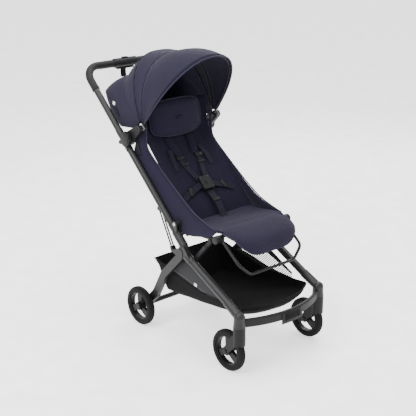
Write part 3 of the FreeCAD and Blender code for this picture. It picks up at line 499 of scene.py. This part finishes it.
for seamName, seamAngle, inset, radius, cloth, seamBody, sides in hoodSeams:
    flatten(tubeAlong(seamName, hoodLine(seamAngle, inset), radius, cloth, seamBody, sides))


def bowPiece(name, node, angle, inset, body):
    # a sprung hoop under the cloth, its feet on the hood pivots
    pts = hoodLine(angle, inset, 8, 172)
    low, high = Vector(hoodPivot), Vector(hoodPivot)
    low.x, high.x = pts[0].x, pts[-1].x
    hoop = tubeAlong(name, [low] + pts + [high], hood["hoop"], "darkMetal", body)
    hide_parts(node)
    flatten(hoop)


bowPiece("visorHoop", "visor_bow", hood["visorAngle"] - 2, 0.0075, "visor")
bowPiece("midHoop", "mid_bow", hood["dipAngle"], 0.0130, "mid_hood")
bowPiece("rearHoop", "rear_bow", hood["rearAngle"] + 0.5, 0.0095, "main_frame")
print("hood done")

# seat
seat = dict(half=0.1585, rows=26, panRows=12, cols=23, backT=0.022, panT=0.024)


def yz(y, z):
    # side-view point, measured from the middle of the wheelbase
    return Vector((0, y + sideFoot.y, z))


backLine = [yz(0.020, 0.462), yz(0.10, 0.545), yz(0.20, 0.648), yz(0.288, 0.737), yz(0.308, 0.80),
            yz(0.318, 0.872)]


def acrossGrid(line, count, half, cols, curl, lift=0.0):
    # a side-view line swept across, its edges curling up towards the viewer
    pts = spreadLine(line, count)
    grid = []
    for i, p in enumerate(pts):
        tangent = (pts[min(i + 1, count - 1)] - pts[max(i - 1, 0)]).normalized()
        up = Vector((1, 0, 0)).cross(tangent) * -1
        if up.z < 0:
            up = -up
        row = []
        for j in range(cols):
            u = 2 * j / (cols - 1) - 1
            row.append(p + Vector((u * half, 0, 0)) + up * (curl(i / (count - 1)) * abs(u) ** 5 + lift))
        grid.append(row)
    return grid


backGrid = acrossGrid(backLine, seat["rows"], seat["half"], seat["cols"],
                      lambda v: 0.026 + 0.030 * max(0.0, v - 0.55), -0.008)
backPad = padShape("backPad", backGrid, seat["backT"], "darkFabric", "back", 0.2,
                   seams=[("v", 0.12, 0.0025, 0.03), ("v", 0.18, 0.0025, 0.03), ("u", -0.72, 0.003, 0.05),
                          ("u", 0.72, 0.003, 0.05)])
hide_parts("back_shell")
flatten(backPad)
panLine = [yz(0.040, 0.474), yz(0.0, 0.466), yz(-0.05, 0.470), yz(-0.10, 0.478), yz(-0.160, 0.483)]
panGrid = acrossGrid(panLine, seat["panRows"], seat["half"], seat["cols"], lambda v: 0.014, -0.004)
panPad = padShape("panPad", panGrid, seat["panT"], "navyFabric", "front_frame", 0.25)
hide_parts("seat_pan")
flatten(panPad)
print("seat pads done")

wing = dict(rows=30, cols=9, thick=0.016, topX=0.162, flare=0.0225, rimX=0.164, piping=0.0026)
rimLine = [yz(0.262, 0.812), yz(0.258, 0.760), yz(0.250, 0.712), yz(0.182, 0.655), yz(0.082, 0.584),
           yz(0.025, 0.547), yz(-0.028, 0.518), yz(-0.090, 0.498), yz(-0.141, 0.486)]
lowLine = [yz(0.300, 0.738), yz(0.306, 0.718), yz(0.309, 0.694), yz(0.218, 0.606), yz(0.134, 0.524),
           yz(0.082, 0.472), yz(0.050, 0.442), yz(-0.030, 0.446), yz(-0.138, 0.474)]
for sign, sideName in ((1, "Left"), (-1, "Right")):
    top, low = spreadLine(rimLine, wing["rows"]), spreadLine(lowLine, wing["rows"])
    grid = []
    for i in range(wing["rows"]):
        row = []
        for j in range(wing["cols"]):
            v = j / (wing["cols"] - 1)
            p = top[i].lerp(low[i], v)
            x = wing["topX"] + wing["flare"] * v ** 0.8
            row.append(p + Vector((sign * x, 0, 0)))
        grid.append(row if sign > 0 else list(reversed(row)))
    wingPad = padShape("wing" + sideName, grid, wing["thick"], "navyFabric", None, 0.15)
    if sign > 0:
        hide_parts("seat_sides")
    rim = [p + Vector((sign * wing["rimX"], 0, 0.004)) for p in top]
    wingRim = tubeAlong("wingPiping" + sideName, rim, wing["piping"], "piping", None)
    # the upper wing hangs on the side tube, the lower wing on the seat rail; here both are baked in place
    # and attached to no body
    for soft in (wingPad, wingRim):
        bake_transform(soft)
print("wings done")

# leg rest flap, one smooth apron over the loop
apron = dict(rows=26, cols=29, half=0.156, thick=0.013, lipDrop=0.26, narrowing=0.10, curl=0.012,
             piping=0.0024)
apronLine = [yz(-0.125, 0.486), yz(-0.165, 0.485), yz(-0.205, 0.477), yz(-0.238, 0.464), yz(-0.256, 0.444),
             yz(-0.262, 0.414)]
apronPts = spreadLine(apronLine, apron["rows"])
apronGrid = []
for i in range(apron["rows"]):
    row = []
    for j in range(apron["cols"]):
        u = 2 * j / (apron["cols"] - 1) - 1
        # the lip is rounded at its corners: each lengthwise line stops short of the middle one
        short = 1 - apron["lipDrop"] * max(0.0, (abs(u) - 0.35) / 0.65) ** 2.4
        v = i / (apron["rows"] - 1)
        reach = v * short * (apron["rows"] - 1)
        k = min(int(reach), apron["rows"] - 2)
        p = apronPts[k].lerp(apronPts[k + 1], reach - k)
        narrow = 1 - apron["narrowing"] * max(0.0, v - 0.5) * 2 * abs(u)
        row.append(p + Vector((u * apron["half"] * narrow, apron["curl"] * abs(u) ** 3 * v, 0)))
    apronGrid.append(row)
apronFront = [list(reversed(r)) for r in apronGrid]
apronPad = padShape("apronPad", apronFront, apron["thick"], "navyFabric", "leg_rest", 0.1)
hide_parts("leg_rest_pad")
flatten(apronPad)
apronRim = smoothLine(sideRim(apronGrid)[::2], 2)
flatten(tubeAlong("apronPiping", apronRim, apron["piping"], "piping", "leg_rest"))
print("apron done")

# headrest
head = dict(half=0.128, rows=15, cols=21, thick=0.026, piping=0.0022, patch=(0.034, 0.0012, 0.012))
headGrid = []
headLow, headTop = yz(0.283, 0.742), yz(0.303, 0.884)
for i in range(head["rows"]):
    v = i / (head["rows"] - 1)
    squareness = 1 - 0.13 * abs(2 * v - 1) ** 5
    row = []
    for j in range(head["cols"]):
        u = 2 * j / (head["cols"] - 1) - 1
        p = headLow.lerp(headTop, v - 0.10 * abs(u) ** 3 * (2 * v - 1))
        p = p + Vector((u * head["half"] * squareness, -0.014 + 0.010 * u * u, 0))
        row.append(p)
    headGrid.append(row)
headPad = padShape("headPad", headGrid, head["thick"], "navyFabric", "back", 0.25)
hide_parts("headrest")
flatten(headPad)
headRim = [p + Vector((0, -0.004, 0)) for p in smoothLine(fullRim(headGrid)[::2], 2)]
flatten(tubeAlong("headPiping", headRim, head["piping"], "piping", "back", closed=True))
patchAt = headLow.lerp(headTop, 0.50) + Vector((0, -0.036, 0))
flatten(boxPiece("headPatch", patchAt, head["patch"], "darkFabric", "back", 0.0004, 0.14))
print("headrest done")

# harness, placed on the sloping back
harness = dict(padX=0.047, padLow=0.296, padHigh=0.388, padWide=0.036, padThick=0.011, padLean=0.014,
               padRows=13, padCols=7, skin=0.0085, tape=0.024, tailTape=0.020, crotchTape=0.030,
               adjuster=(0.034, 0.014, 0.006), slider=(0.032, 0.010, 0.005),
               waistSlider=(0.014, 0.034, 0.006), crotchSlider=(0.036, 0.012, 0.005),
               stitch=(0.026, 0.0012, 0.0012))
backTilt = math.radians(45.9)


def onBack(x, along, off):
    c, q = math.cos(backTilt), math.sin(backTilt)
    return yz(0.010 + along * c - off * q, 0.452 + along * q + off * c) + Vector((x, 0, 0))


def backBox(name, x, along, off, size, material, body, bevel=0.0015, turn=0.0):
    # size is across, along and out of the back
    spin = Matrix.Rotation(backTilt, 3, "X") @ Matrix.Rotation(turn, 3, "Z")
    return flatten(solidPiece(name, bevelBox(size, bevel), spin, onBack(x, along, off), material, body))


def tapeOnBack(name, points, width, body, thickness=0.0018):
    # webbing through (x, along, off) points, its width lying in the back's plane
    outward = Matrix.Rotation(backTilt, 3, "X") @ Vector((0, 0, 1))

    def wideAt(tangent):
        return tangent.cross(outward).normalized()
    pts = smoothLine([onBack(*p) for p in points], 8)
    return flatten(flatTape(name, pts, width, thickness, "webbing", body, wideAt))


for sign, sideName in ((1, "Left"), (-1, "Right")):
    padGrid = []
    for i in range(harness["padRows"]):
        v = i / (harness["padRows"] - 1)
        along = harness["padLow"] + (harness["padHigh"] - harness["padLow"]) * v
        middle = sign * (harness["padX"] + harness["padLean"] * (v - 0.5))
        wide = harness["padWide"] * (1 - 0.10 * abs(2 * v - 1) ** 4) / 2
        steps = [2 * j / (harness["padCols"] - 1) - 1 for j in range(harness["padCols"])]
        padGrid.append([onBack(middle + wide * u, along, harness["skin"]) for u in steps])
    shoulder = padShape("shoulderPad" + sideName, padGrid, harness["padThick"], "darkFabric", "back",
                        0.2)
    if sign > 0:
        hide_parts("shoulder_pads")
    flatten(shoulder)
    x = sign * harness["padX"]
    backBox("shoulderAdjuster" + sideName, x, 0.287, 0.014, harness["adjuster"], "blackPlastic", "back")
    backBox("strapSlider" + sideName, x * 0.86, 0.257, 0.014, harness["slider"], "blackPlastic", "back")
    beltRun = [(x, 0.300, 0.013), (x * 0.90, 0.262, 0.012), (x * 0.62, 0.215, 0.014),
               (x * 0.40, 0.178, 0.020)]
    belt = tapeOnBack("shoulderStrap" + sideName, beltRun, harness["tape"], "back")
    if sign > 0:
        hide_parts("harness_straps")
    tailRun = [(x * 1.55, 0.330, 0.012), (x * 1.75, 0.285, 0.014), (x * 1.85, 0.238, 0.012)]
    tapeOnBack("shoulderTail" + sideName, tailRun, harness["tailTape"], "back")
    waistRun = [(sign * 0.128, 0.118, 0.012), (sign * 0.086, 0.137, 0.014), (sign * 0.050, 0.150, 0.017),
                (sign * 0.026, 0.158, 0.021)]
    tapeOnBack("waistStrap" + sideName, waistRun, harness["tape"], "back")
    backBox("waistAdjuster" + sideName, sign * 0.083, 0.139, 0.016, harness["waistSlider"], "blackPlastic",
            "back", 0.0015, sign * 0.28)
    backBox("padStitch" + sideName, x, 0.342, 0.021, harness["stitch"], "navyFabric", "back", 0.0003)
crotchRun = [(0.0, 0.134, 0.016), (0.004, 0.100, 0.022), (0.006, 0.055, 0.024), (0.004, 0.012, 0.020),
             (0.002, -0.022, 0.030)]
crotch = tapeOnBack("crotchStrap", crotchRun, harness["crotchTape"], "front_frame", 0.0030)
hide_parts("crotch_strap")
backBox("crotchSlider", 0.005, 0.082, 0.026, harness["crotchSlider"], "blackPlastic", "front_frame")
print("harness done")

# basket: a tub of coated cloth with net sides
tub = dict(half=0.1665, cols=41, steps=6, corner=0.026, rounding=0.30, front=0.050, wall=0.0022, sag=0.0025,
           binding=0.0030)
tubLine = [yz(0.220, 0.281), yz(0.186, 0.220), yz(0.152, 0.163), yz(0.100, 0.163), yz(-0.060, 0.177),
           yz(-0.200, 0.191), yz(-0.304, 0.203), yz(-0.322, 0.222), yz(-0.328, 0.240)]
rimHeights = [(-0.328, 0.240), (-0.215, 0.234), (-0.060, 0.228), (0.110, 0.262), (0.220, 0.281)]


def rimHeight(y):
    for (y0, z0), (y1, z1) in zip(rimHeights, rimHeights[1:]):
        if y <= y1:
            return z0 + (z1 - z0) * max(0.0, (y - y0) / (y1 - y0))
    return rimHeights[-1][1]


def tubGrid():
    pts = []
    for a, b in zip(tubLine, tubLine[1:]):
        pts += [a.lerp(b, k / tub["steps"]) for k in range(tub["steps"])]
    pts.append(tubLine[-1])
    grid = []
    for p in pts:
        wall = max(0.0, rimHeight(p.y - sideFoot.y) - p.z)
        run = tub["half"] + wall
        row = []
        for j in range(tub["cols"]):
            u = 2 * j / (tub["cols"] - 1) - 1
            d = abs(u) * run
            x, rise = min(d, tub["half"]), max(0.0, d - tub["half"])
            soften = tub["corner"] * math.exp(-abs(d - tub["half"]) / tub["corner"]) * min(1.0, wall / 0.03)
            x = max(0.0, x - tub["rounding"] * soften)
            rise = rise + tub["rounding"] * soften
            forward = max(0.0, (-0.14 - (p.y - sideFoot.y)) / 0.16)
            back = tub["front"] * min(1.0, forward) * (abs(x) / tub["half"]) ** 2.4
            sag = tub["sag"] * noise.noise(Vector((x * 14 * (1 if u > 0 else -1), p.y * 11, 3.0)))
            row.append(Vector((math.copysign(x, u), p.y + back, p.z + rise + sag)))
        grid.append(row)
    return grid


basketGrid = tubGrid()
basket = clothSheet("basketTub", basketGrid, tub["wall"], "basketFabric", "front_frame")
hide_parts("basket_tub")
flatten(basket)
basketRim = fullRim(basketGrid)[::2]
flatten(tubeAlong("basketBinding", basketRim, tub["binding"], "basketFabric", "front_frame", closed=True))

sideNet = dict(x=0.1665, bulge=0.001, cloth=0.0012, rows=7, cols=25, binding=0.0026)
for sign, sideName in ((1, "Left"), (-1, "Right")):
    low = spreadLine([yz(0.106, 0.262), yz(-0.060, 0.229), yz(-0.208, 0.235)], sideNet["cols"])
    highLine = [yz(0.060, 0.312), yz(0.0, 0.336), yz(-0.060, 0.329), yz(-0.203, 0.257)]
    high = spreadLine(highLine, sideNet["cols"])
    netGrid = []
    for j in range(sideNet["rows"]):
        v = j / (sideNet["rows"] - 1)
        out = Vector((sign * (sideNet["x"] + sideNet["bulge"] * math.sin(math.pi * v)), 0, 0))
        netGrid.append([a.lerp(b, v) + out for a, b in zip(low, high)])
    net = clothSheet("basketNet" + sideName, netGrid, sideNet["cloth"], "meshFabric", "front_frame")
    if sign > 0:
        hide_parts("basket_mesh")
    flatten(net)
    topEdge = [p + Vector((sign * sideNet["x"], 0, 0)) for p in high]
    flatten(tubeAlong("netBinding" + sideName, topEdge, sideNet["binding"], "basketFabric", "front_frame"))
labelAt = yz(-0.028, 0.248) + Vector((-0.1695, 0, 0))
flatten(boxPiece("basketLabel", labelAt, (0.0008, 0.016, 0.012), "labelWhite", "front_frame", 0.0002, 0.2))
print("basket done")

# trims on the frame
trim = dict(tubeX=0.200, ring=0.0138, gripRing=0.0150, lowRing=0.0151, seam=0.0018, ringSteps=40,
            clip=(0.006, 0.022, 0.014), shield=0.0075, bumperRibs=5, bumperPitch=0.006)


def ringAt(name, along, radius, body, x):
    # a thin dark joint line round a side tube
    middle = sidePoint(along) + Vector((x, 0, 0))
    c, q = math.cos(sideAngle), math.sin(sideAngle)
    upAxis, outAxis = Vector((0, -q, c)), Vector((1, 0, 0))
    turns = [2 * math.pi * k / trim["ringSteps"] for k in range(trim["ringSteps"])]
    pts = [middle + upAxis * radius * math.cos(t) + outAxis * radius * math.sin(t) for t in turns]
    return tubeAlong(name, pts, trim["seam"] / 2, "darkMetal", body, 6, True)


for sign, sideName in ((1, "Left"), (-1, "Right")):
    x = sign * trim["tubeX"]
    ringAt("sleeveRing" + sideName, 0.098, trim["ring"], "main_frame", x)
    ringAt("topRing" + sideName, 0.4375, trim["ring"], "main_frame", x)
    ringAt("gripRing" + sideName, 0.727, trim["gripRing"], "handle", x)
    ringAt("gripRingLow" + sideName, 0.734, trim["lowRing"], "handle", x)
    clip = yz(0.250, 0.803) + Vector((sign * 0.186, 0, 0))
    boxPiece("hoodClip" + sideName, clip, trim["clip"], "greyPlastic", "main_frame", 0.002, sideAngle)
    shield = [yz(0.306, 0.765), yz(0.290, 0.728), yz(0.272, 0.690)]
    shieldPts = [p + Vector((sign * 0.1845, 0, 0)) for p in shield]
    tubeAlong("hubShield" + sideName, smoothLine(shieldPts, 6), trim["shield"], "blackPlastic", "main_frame",
              12, False, 0.5)
    socketAt = yz(-0.154, 0.466) + Vector((sign * 0.1872, 0, 0))
    discPiece("socketRing%s0" % sideName, socketAt, 0.0135, 0.0008, "darkMetal", "front_frame", 36, 0.0002)
    hubFront = sidePoint(0.473, 0.024) + Vector((sign * 0.2203, 0, 0))
    discPiece("hubCapRing" + sideName, hubFront, 0.022, 0.0012, "darkMetal", "main_frame", 48, 0.0004)
for k in range(trim["bumperRibs"]):
    z = 0.184 + trim["bumperPitch"] * k
    ribPts = [yz(-0.3735 + 0.0013 * (j / 6) ** 2, z) + Vector((j / 6 * 0.040, 0, 0)) for j in range(-6, 7)]
    tubeAlong("bumperRib%d" % k, ribPts, 0.0012, "blackPlastic", "front_frame", 6)
tagSpot = yz(0.432, 0.866) + Vector((-0.1850, 0, 0))
flatten(boxPiece("hoodLabel", tagSpot, (0.0012, 0.014, 0.014), "labelWhite", "main_frame", 0.0003, 0.2))
stripPts = [yz(0.424, 0.852) + Vector((-0.1855, 0, 0)), yz(0.412, 0.838) + Vector((-0.1860, 0, 0)),
             yz(0.400, 0.822) + Vector((-0.1855, 0, 0))]
flatten(ribbon("hoodTab", stripPts, 0.008, 0.0012, "webbing", "main_frame", Vector((0, 1, 0))))
barAt = sidePoint(0.837)
moduleRibs = dict(count=9, pitch=0.0055, radius=0.0186, size=(0.002, 0.0016, 0.006), turns=(250, 200))
for k in range(moduleRibs["count"]):
    x = (k - (moduleRibs["count"] - 1) / 2) * moduleRibs["pitch"]
    for letter, turn in zip("ab", moduleRibs["turns"]):
        angle = math.radians(turn)
        out = Vector((x, moduleRibs["radius"] * math.cos(angle), moduleRibs["radius"] * math.sin(angle)))
        boxPiece("moduleRib%d%s" % (k, letter), barAt + out, moduleRibs["size"], "blackPlastic", "handle",
                 0.0004, angle)
gripSeam = [barAt + Vector((x / 100, -0.0151 * 0.2, -0.0149)) for x in range(-13, 14)]
tubeAlong("gripSeam", gripSeam, 0.0006, "darkFabric", "handle", 5)
strapLow = barAt + Vector((0, 0.0105, -0.027))
strapRun = [strapLow + Vector((0, 0.0, 0.004)), strapLow + Vector((0, 0.0015, -0.010)),
            strapLow + Vector((0, 0.0, -0.026)), strapLow + Vector((0, -0.002, -0.034))]
strap = ribbon("carryLoop", strapRun, 0.026, 0.003, "webbing", "handle")
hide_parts("carry_strap")
print("trims done")

# tyre tread: shallow ribs round each wheel
tread = dict(radius=0.0776, ribs=3, pitch=0.005, rib=0.0009, steps=96)
for wheelName in ("front_wheel_left", "front_wheel_right", "rear_wheel_left", "rear_wheel_right"):
    centre = jointPoint(wheelName.replace("wheel", "wheel_spin"))
    r = tread["radius"]
    turns = [2 * math.pi * t / tread["steps"] for t in range(tread["steps"])]
    for k in range(tread["ribs"]):
        x = (k - 1) * tread["pitch"]
        ring = [centre + Vector((x, r * math.cos(t), r * math.sin(t))) for t in turns]
        tubeAlong("tread_%s_%d" % (wheelName, k), ring, tread["rib"], "tyreFoam", wheelName, 6, True)
print("tread done")

# stage, lights and camera
stage = dict(half=30.0, sky=1.5)
floorMesh = bpy.data.meshes.new("floor")
h = stage["half"]
floorMesh.from_pydata([(-h, -h, 0), (h, -h, 0), (h, h, 0), (-h, h, 0)], [], [(0, 1, 2, 3)])
floorObj = bpy.data.objects.new("floor", floorMesh)
floorObj.data.materials.append(materials["floorPaper"])
bpy.context.scene.collection.objects.link(floorObj)
world = bpy.data.worlds.new("studio")
bpy.context.scene.world = world
world.use_nodes = True
sky = next(n for n in world.node_tree.nodes if n.type == "BACKGROUND")
sky.inputs["Color"].default_value = (1.0, 1.0, 1.0, 1)
sky.inputs["Strength"].default_value = stage["sky"]


def areaLight(name, spot, aim, size, power):
    light = bpy.data.lights.new(name, "AREA")
    light.shape, light.size, light.energy = "SQUARE", size, power
    obj = bpy.data.objects.new(name, light)
    obj.location = Vector(spot)
    obj.rotation_euler = (Vector(aim) - Vector(spot)).to_track_quat("-Z", "Y").to_euler()
    bpy.context.scene.collection.objects.link(obj)


areaLight("keyLight", (-2.6, -0.4, 2.9), (0, 0, 0.6), 1.6, 110)
areaLight("topLight", (0.3, 0.2, 3.4), (0, 0, 0.5), 2.2, 110)
areaLight("rimLight", (2.6, 1.4, 2.2), (0, 0, 0.7), 1.4, 50)
view = dict(spot=(-2.24197, -2.55934, 1.64596), backAxis=(-0.62740, -0.70737, 0.32557),
            lens=80.0, sensor=36.0)
cameraData = bpy.data.cameras.new("mainCamera")
cameraData.lens, cameraData.sensor_width = view["lens"], view["sensor"]
camera = bpy.data.objects.new("mainCamera", cameraData)
camera.location = Vector(view["spot"])
camera.rotation_euler = (-Vector(view["backAxis"])).to_track_quat("-Z", "Y").to_euler()
bpy.context.scene.collection.objects.link(camera)
bpy.context.scene.camera = camera
